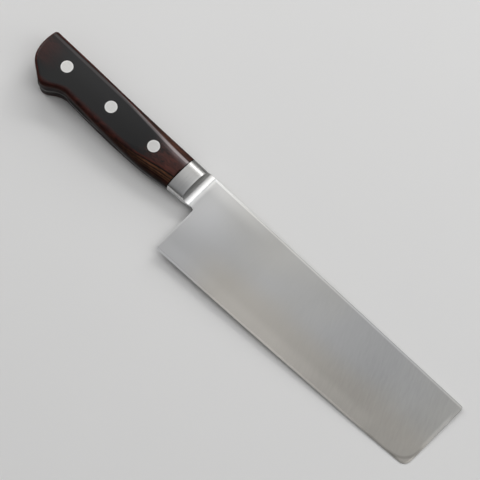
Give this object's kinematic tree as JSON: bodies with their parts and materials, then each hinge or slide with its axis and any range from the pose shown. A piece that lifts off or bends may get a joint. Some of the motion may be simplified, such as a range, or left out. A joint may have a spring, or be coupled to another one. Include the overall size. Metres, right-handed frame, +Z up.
{
  "type": "nakiri knife",
  "caption": "Kitchen knife with a tall straight-edged rectangular blade, welded bolster, full tang, riveted wooden grip scales and a beaked butt, lying on its side.",
  "frame": {"origin": "middle of the knife's box, on the surface that the knife lies on", "axes": "+X along the knife to the blade's front, +Y across it to the spine, +Z up, out of the knife's right side"},
  "size_m": [0.2816, 0.0468, 0.0178],
  "materials": {
    "blade_steel": "satin stainless steel with a fine ground grain",
    "bolster_steel": "polished stainless steel, softly satin",
    "grip_wood": "dark red-brown laminated wood, resin-filled and polished",
    "rivet_steel": "stainless steel ground flush with the wood"
  },
  "bodies": {
    "root": {"blade": "blade_steel", "bolster_right": "bolster_steel", "bolster_left": "bolster_steel", "scale_right": "grip_wood", "scale_left": "grip_wood", "rear_rivet_post": "rivet_steel", "rear_rivet_socket": "rivet_steel", "middle_rivet_post": "rivet_steel", "middle_rivet_socket": "rivet_steel", "front_rivet_post": "rivet_steel", "front_rivet_socket": "rivet_steel"}
  },
  "joints": []
}
